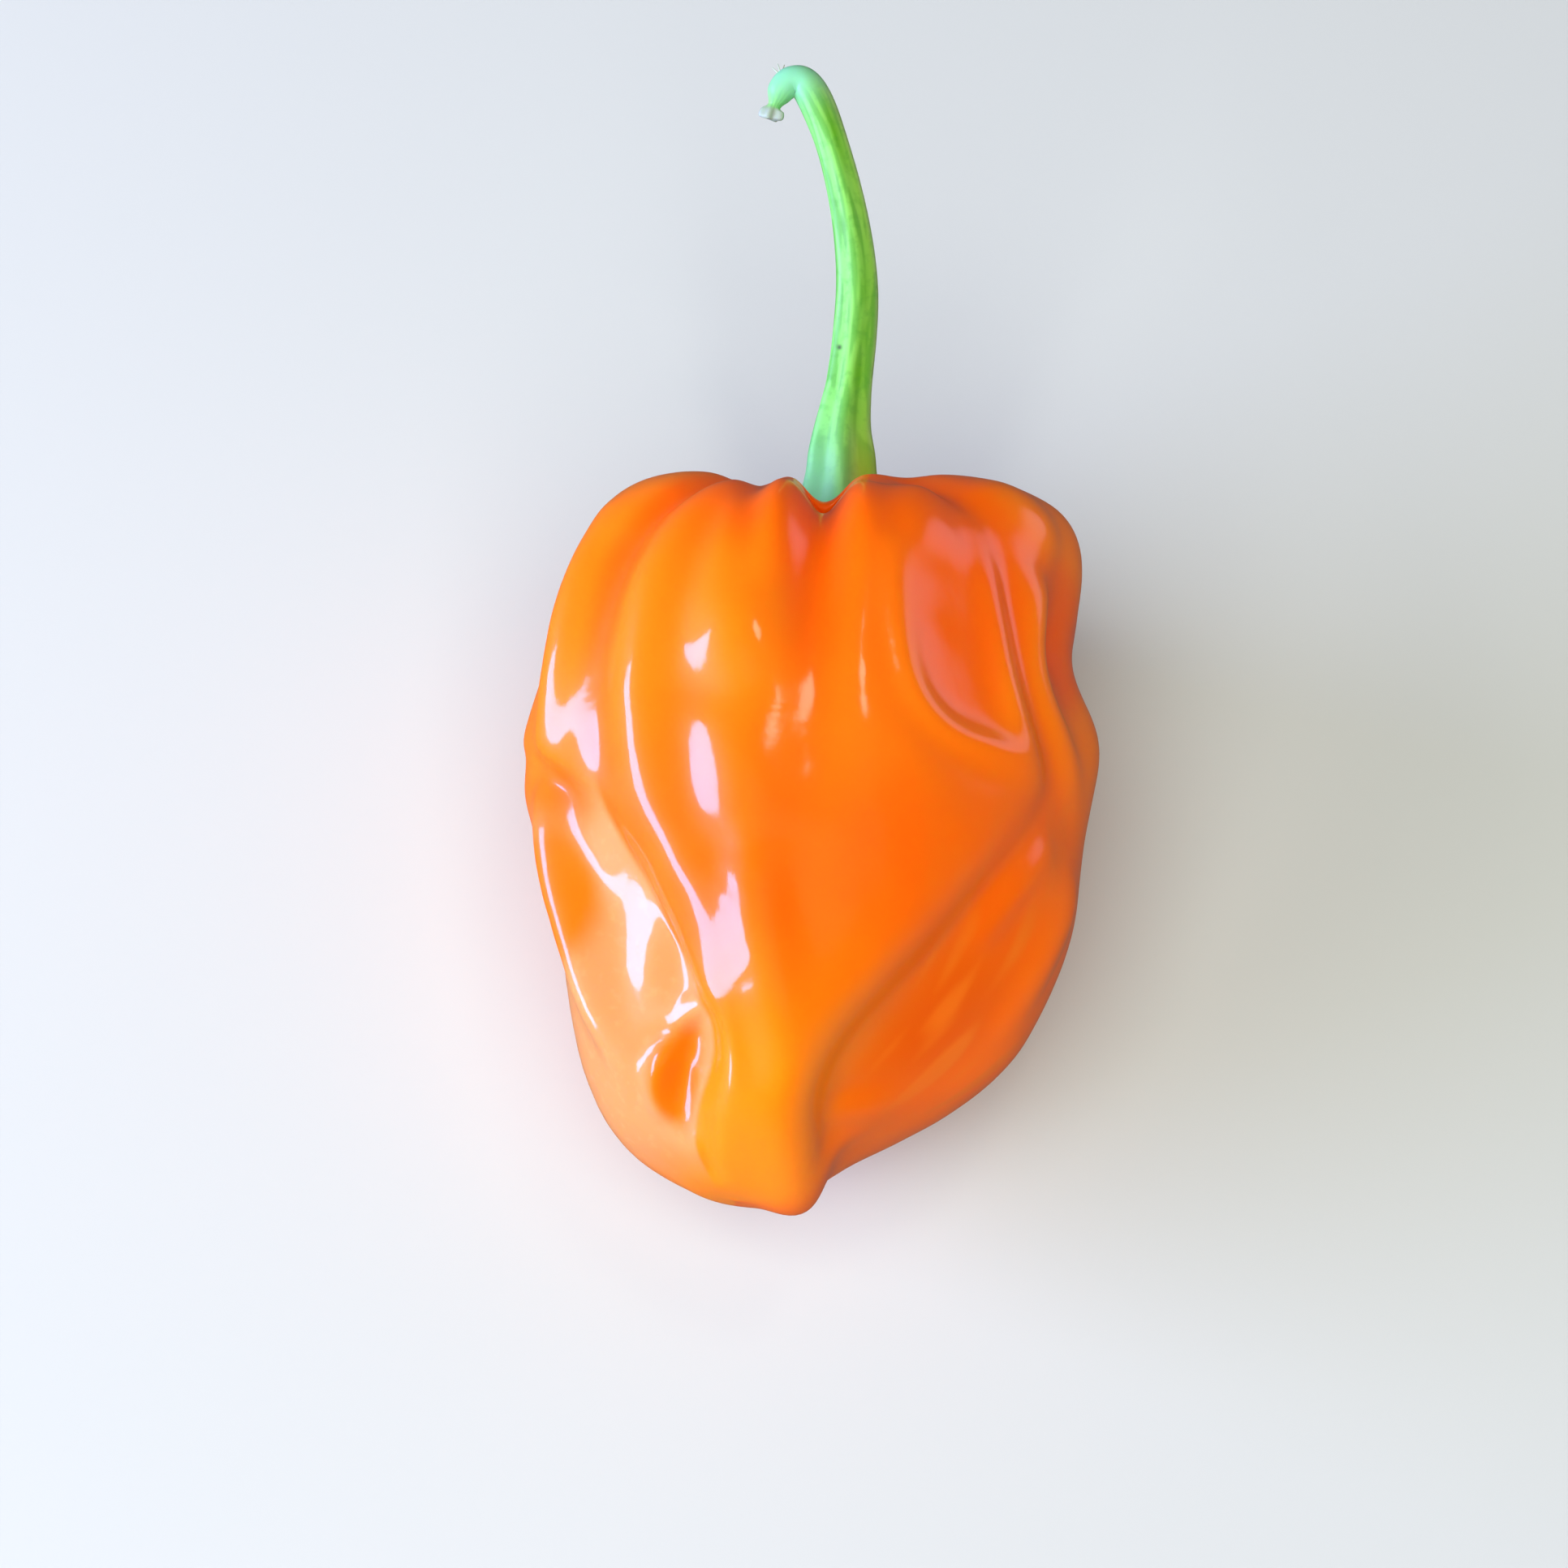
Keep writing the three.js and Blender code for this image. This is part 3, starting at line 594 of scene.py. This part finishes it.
# Centre line from the seat to the torn tip
STALK_LINE = [
    (1.6, SEAT_STATION - POD_LENGTH / 2, 0), (1.9, 23.5, 0.4), (2.1, 27.1, 1.2), (2.15, 30.5, 2.1),
    (2.6, 34, 3.3), (2.95, 37.3, 4.5), (3.05, 40.5, 5.9), (2.7, 43.7, 7.3), (2, 46.9, 8.7),
    (1, 50.1, 10), (-0.1, 52.7, 10.9), (-1.05, 54.05, 11.4), (-1.95, 54.2, 11.5),
    (-2.6, 53.7, 11.3), (-3, 53, 11), (-3.3, 52.3, 10.7), (-3.5, 51.6, 10.4),
]

# Outline: distance along the centre line and radius
STALK_OUTLINE = [
    (0, 0), (0.5, 2.6), (1.2, 4), (2, 4.6), (2.7, 4.5), (3.8, 3.8), (5.3, 3.2), (7.5, 2.7),
    (9.3, 2.5), (11.2, 2.15), (13, 1.9), (15, 1.73), (20, 1.65), (24, 1.5), (28, 1.34), (32, 1.24),
    (35, 1.28), (36.6, 1.24), (37.8, 1.1), (38.8, 1.06), (39.5, 0.9), (40.1, 0.55), (40.4, 0.5),
    (40.7, 0.68), (41.1, 0.74), (41.3, 0.6), (41.35, 0),
]
STALK_FACE = unit(np.array([0, -0.4, 0.92]))

stalk_t = np.linspace(0, 1, 4001)
line_points = curve_at(STALK_LINE, stalk_t)
line_reach = travelled(line_points)
line_tangents = unit(np.gradient(line_points, axis=0))
outline_points = curve_at(STALK_OUTLINE, stalk_t)
profile_reach = travelled(outline_points)


def columns_at(values, knots, table):
    return np.stack([np.interp(values, knots, column) for column in table.T], axis=-1)


stalk_ball = bmesh.new()
bmesh.ops.create_uvsphere(stalk_ball, u_segments=STALK_COLUMNS, v_segments=STALK_ROWS, radius=1)
stalk_angle, stalk_share = ball_places(stalk_ball)
distance, radius = columns_at(stalk_share * profile_reach[-1], profile_reach, outline_points).T
at = distance / STALK_OUTLINE[-1][0] * line_reach[-1]
centres = columns_at(at, line_reach, line_points)
along = unit(columns_at(at, line_reach, line_tangents))
face = unit(STALK_FACE - along * rows_dot(along, STALK_FACE)[:, None])
side = np.cross(along, face)

# The ribs are lower on the shaft and end below the knob, and the calyx has a tooth at each
wave = np.cos(STALK_RIBS * (stalk_angle - math.pi / 2))
shaft_drop = (RIB_HEIGHT - SHAFT_RIB_HEIGHT) * smooth(distance, 8, 20)
rib_height = RIB_HEIGHT - shaft_drop - SHAFT_RIB_HEIGHT * smooth(distance, 30, 36)
teeth = TOOTH_HEIGHT * bell(distance - TOOTH_PLACE, 1)

# The torn tip has a ragged rim that leans up and down
torn = smooth(distance, 40.3, 40.7)
ragged = 0.26 * np.sin(3 * stalk_angle) + 0.16 * np.sin(5 * stalk_angle + 1)
rim_lean = TORN_LEAN * torn * np.sin(2 * stalk_angle) * np.minimum(radius, 1)
swell = radius * (1 + (rib_height + teeth) * wave + torn * ragged)
stalk_points = (centres + side * (swell * np.cos(stalk_angle))[:, None]
                + face * (swell * np.sin(stalk_angle))[:, None]
                + along * rim_lean[:, None])


def lay_down(points):
    """From the fruit's own axes to where it lies, in metres."""
    return (points @ turn_up.T + place) * MM


move_vertices(stalk_ball, lay_down(stalk_points))
stalk = new_piece("stalk_skin", stalk_ball)

# Colour runs lengthwise: a lighter green on the left that is painted light from the window side, a
# broken deep green seam towards the right, a pale right edge that is painted sheen, dark stripes,
# olive low on the right, mint that is painted sheen on the left of the calyx and, on the knob, painted
# sheen over its own paler colour, one brown speck, and whitish where it was torn
KNOB_PLACE = 38
CALYX_PLACE = 4
SPECK_PLACE = 17
SPECK_ANGLE = 2.25
across_stalk = np.cos(stalk_angle)
# Painted light: the side towards the window, on the left, is painted a lighter green
left = 0.5 - 0.5 * across_stalk
# Painted sheen: a paler band along the right edge
edge = smooth(across_stalk, 0.72, 0.95) * smooth(distance, 8, 12)
stripe_places = np.stack([across_stalk, np.sin(stalk_angle), distance * 0.06], axis=-1)
patch_places = np.stack([distance, stalk_angle, 0 * distance], axis=-1)
patches = np.clip(0.7 + ripple(patch_places, 2.6, 8), 0, 1)
shaft = smooth(distance, 7, 14) * smooth(37 - distance, 0, 6)
seam = bell(across_stalk - 0.36, 0.28) * shaft * patches
stripes = smooth(ripple(stripe_places, 0.22, 6), -0.12, 0.2)
speck = bell(distance - SPECK_PLACE, 0.2) * bell(stalk_angle - SPECK_ANGLE, 0.12)
# Painted sheen: mint on the left of the calyx, from the bluish window; on the knob, mint is painted
# sheen over its own paler colour
calyx_sheen = bell(distance - CALYX_PLACE, 5.5) * smooth(left, 0.3, 0.75)
mint = (bell(distance - KNOB_PLACE, 2) + calyx_sheen).clip(0, 1)
olive = bell(distance - CALYX_PLACE, 5) * bell(across_stalk - 0.6, 0.4)
stalk_values = {"left": left, "edge": edge, "seam": seam, "stripes": stripes, "mint": mint,
                "olive": olive, "speck": speck, "torn": torn}
for name, values in stalk_values.items():
    add_values(stalk.data, name, values)

STALK_LIT_GREEN = (0.2, 0.68, 0.15, 1)
STALK_SIDE = (0.24, 0.52, 0.05, 1)
STALK_SEAM = (0.11, 0.42, 0.006, 1)
STALK_DARK = (0.07, 0.32, 0.03, 1)
STALK_MINT_AND_SHEEN = (0.23, 0.68, 0.4, 1)
STALK_OLIVE = (0.42, 0.5, 0.03, 1)
STALK_EDGE_SHEEN = (0.3, 0.56, 0.16, 1)
TORN_PALE = (0.36, 0.45, 0.38, 1)
STALK_MOTTLE = (0.5, 0.5, 0.5, 1)
SPECK_BROWN = (0.03, 0.05, 0.02, 1)
STRIPE_STRENGTH = 0.6
MOTTLES_A_METRE = 1400

stalk_paint, stalk_shader = new_material("green_stalk")
# Painted light: lighter green on the left
green = colour_mix(stalk_paint, value_of(stalk_paint, "left"), STALK_SIDE, STALK_LIT_GREEN)
striped = scaled_value(stalk_paint, "stripes", STRIPE_STRENGTH)
green = colour_mix(stalk_paint, striped, green, STALK_DARK)
green = mixed_by(stalk_paint, green, "seam", STALK_SEAM)
# Painted sheen along the right edge
green = mixed_by(stalk_paint, green, "edge", STALK_EDGE_SHEEN)
cloudy = noise_of(stalk_paint, MOTTLES_A_METRE, 3)
mottle = ramp_between(stalk_paint, cloudy, 0.5, 0.75, STALK_MOTTLE)
green = colour_mix(stalk_paint, mottle, green, STALK_DARK)
green = mixed_by(stalk_paint, green, "olive", STALK_OLIVE)
# Mint: painted sheen on the calyx, and on the knob painted sheen over its own paler colour
green = mixed_by(stalk_paint, green, "mint", STALK_MINT_AND_SHEEN)
green = mixed_by(stalk_paint, green, "torn", TORN_PALE)
green = mixed_by(stalk_paint, green, "speck", SPECK_BROWN)
link(stalk_paint, green, stalk_shader.inputs["Base Color"])
set_inputs(stalk_shader, {
    "Roughness": 0.45, "Subsurface Weight": 0.2, "Subsurface Radius": (0.4, 1, 0.2),
    "Subsurface Scale": 0.001,
})
stalk.data.materials.append(stalk_paint)
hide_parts("stalk")
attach(stalk, "root")

# Three dry hairs on the pale knob, which joined the fruit to its plant: tapered wisps, rooted in
# the stalk's skin
HAIR_ROOT = (-2.75, 54.5, 11.75)
HAIR_LENGTH = 1.1
HAIR_RADIUS = 0.11
HAIR_TIP_RADIUS = 0.03
HAIR_SIDES = 10
HAIR_STAND = 0.3
HAIR_HEADINGS = [(-0.75, 0.62, 0.2), (-0.3, 0.9, 0.35), (0.25, 0.9, 0.1)]
HAIR_STRAW = (0.5, 0.62, 0.42, 1)
FIBRES_A_METRE = 3000

hair_bm = bmesh.new()
for heading in HAIR_HEADINGS:
    turn = Vector(heading).to_track_quat("Z", "Y").to_matrix().to_4x4()
    middle = Vector(HAIR_ROOT) + Vector(heading) * HAIR_LENGTH * HAIR_STAND
    bmesh.ops.create_cone(hair_bm, cap_ends=True, segments=HAIR_SIDES, radius1=HAIR_RADIUS,
                          radius2=HAIR_TIP_RADIUS, depth=HAIR_LENGTH,
                          matrix=Matrix.Translation(middle) @ turn)
hair_points = np.array([vertex.co for vertex in hair_bm.verts])
move_vertices(hair_bm, lay_down(hair_points))
hairs = new_piece("dry_hairs", hair_bm)
hair_paint, hair_shader = new_material("dry_straw")
fibres = noise_of(hair_paint, FIBRES_A_METRE, 2)
straw = colour_mix(hair_paint, fibres, HAIR_STRAW, TORN_PALE)
link(hair_paint, straw, hair_shader.inputs["Base Color"])
set_inputs(hair_shader, {"Roughness": 0.6})
hairs.data.materials.append(hair_paint)
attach(hairs, "root")

# The floor: a plain pale surface that the pepper lies on, not part of the object
FLOOR_HALF_SIZE = 1.5
FLOOR_PALE = (0.6, 0.65, 0.62, 1)

floor_bm = bmesh.new()
bmesh.ops.create_grid(floor_bm, x_segments=1, y_segments=1, size=FLOOR_HALF_SIZE)
floor = new_piece("floor", floor_bm)
floor_paint, floor_shader = new_material("pale_floor")
set_inputs(floor_shader, {"Base Color": FLOOR_PALE, "Roughness": 0.7})
floor.data.materials.append(floor_paint)
floor.visible_glossy = False

# The light: a bluish window low on the left, a small warm lamp overhead, soft boxes that only
# fill the shade, and a pale room with one pinkish patch of wall low behind on the right
pod_centre = Vector(lay_down(np.zeros((1, 3)))[0])


def soft_box(name, toward, distance, width, height, power, colour):
    """A rectangle of light that faces the pepper from a direction."""
    light = bpy.data.lights.new(name, "AREA")
    light.shape = "RECTANGLE"
    light.size = width
    light.size_y = height
    light.energy = power
    light.color = colour
    box = bpy.data.objects.new(name, light)
    bpy.context.scene.collection.objects.link(box)
    direction = Vector(toward).normalized()
    box.location = pod_centre + direction * distance
    box.rotation_euler = direction.to_track_quat("Z", "Y").to_euler()
    return box


# Each box: direction, distance, width and height in metres, power in watts, colour
soft_box("window", (-0.95, -0.08, 0.23), 0.6, 0.5, 0.2, 5.5, (0.4, 0.47, 1))
soft_box("lamp", (0.2, 0.23, 0.94), 0.6, 0.08, 0.08, 0.15, (1, 0.85, 0.7))
overhead = soft_box("overhead", (-0.08, -0.45, 0.88), 0.8, 0.8, 0.8, 8, (1, 0.98, 0.93))
window_glow = soft_box("window glow", (-0.9, -0.2, 0.45), 0.6, 0.5, 0.3, 2.2, (1, 0.96, 0.95))
overhead.visible_glossy = False
window_glow.visible_glossy = False

# The room's walls are a little brighter low down than at the ceiling
AIR_COLOUR = (1, 0.8, 0.75)
WALL_LIGHT = 0.15
CEILING_LIGHT = 0.05
WALL_HEIGHT = -0.1
CEILING_HEIGHT = 0.5
PATCH_TOWARD = (0.82, 0.51, 0.2)
PATCH_SPREAD = 22
PATCH_COLOUR = (1.7, 1.1, 1.5)
world = bpy.data.worlds.new("room")
world.use_nodes = True
room = world.node_tree
sky = room.nodes.new("ShaderNodeTexCoord").outputs["Generated"]
split = room.nodes.new("ShaderNodeSeparateXYZ")
fade = room.nodes.new("ShaderNodeMapRange")
fade.inputs["From Min"].default_value = WALL_HEIGHT
fade.inputs["From Max"].default_value = CEILING_HEIGHT
fade.inputs["To Min"].default_value = WALL_LIGHT
fade.inputs["To Max"].default_value = CEILING_LIGHT
room.links.new(sky, split.inputs[0])
room.links.new(split.outputs["Z"], fade.inputs["Value"])


def glow(toward, spread, colour, before):
    """A soft patch of brighter wall round a direction, added to the light before it."""
    facing = room.nodes.new("ShaderNodeVectorMath")
    facing.operation = "DOT_PRODUCT"
    facing.inputs[1].default_value = Vector(toward).normalized()
    room.links.new(sky, facing.inputs[0])
    patch = room.nodes.new("ShaderNodeMapRange")
    patch.interpolation_type = "SMOOTHERSTEP"
    patch.inputs["From Min"].default_value = math.cos(math.radians(spread))
    room.links.new(facing.outputs["Value"], patch.inputs["Value"])
    total = room.nodes.new("ShaderNodeVectorMath")
    total.operation = "MULTIPLY_ADD"
    total.inputs[0].default_value = colour
    room.links.new(patch.outputs["Result"], total.inputs[1])
    room.links.new(before, total.inputs[2])
    return total.outputs["Vector"]


air = room.nodes.new("ShaderNodeVectorMath")
air.operation = "SCALE"
air.inputs[0].default_value = AIR_COLOUR
room.links.new(fade.outputs["Result"], air.inputs["Scale"])
light = glow(PATCH_TOWARD, PATCH_SPREAD, PATCH_COLOUR, air.outputs["Vector"])
room.links.new(light, room.nodes["Background"].inputs["Color"])
room.nodes["Background"].inputs["Strength"].default_value = 1
bpy.context.scene.world = world
bpy.context.scene.view_settings.view_transform = "Standard"

# The view: from high above the blossom end, with the stalk pointing away
ELEVATION = math.radians(67)
DISTANCE = 0.24
IMAGE = 1932
PIXELS_PER_MM = 17.25
SENSOR = 36
NEAREST_SEEN = 0.01
POD_CENTRE_PIXEL = (995, 1030)
toward_camera = Vector((0, -math.cos(ELEVATION), math.sin(ELEVATION)))
camera_up = Vector((0, math.sin(ELEVATION), math.cos(ELEVATION)))
camera_data = bpy.data.cameras.new("camera")
camera_data.sensor_width = SENSOR
camera_data.lens = SENSOR * PIXELS_PER_MM * DISTANCE / MM / IMAGE
camera_data.clip_start = NEAREST_SEEN
camera = bpy.data.objects.new("camera", camera_data)
bpy.context.scene.collection.objects.link(camera)
camera.location = pod_centre + toward_camera * DISTANCE
aim = pod_centre + Vector((1, 0, 0)) * ((IMAGE / 2 - POD_CENTRE_PIXEL[0]) / PIXELS_PER_MM * MM)
aim += camera_up * ((POD_CENTRE_PIXEL[1] - IMAGE / 2) / PIXELS_PER_MM * MM)
camera.rotation_euler = (camera.location - aim).to_track_quat("Z", "Y").to_euler()
bpy.context.scene.camera = camera
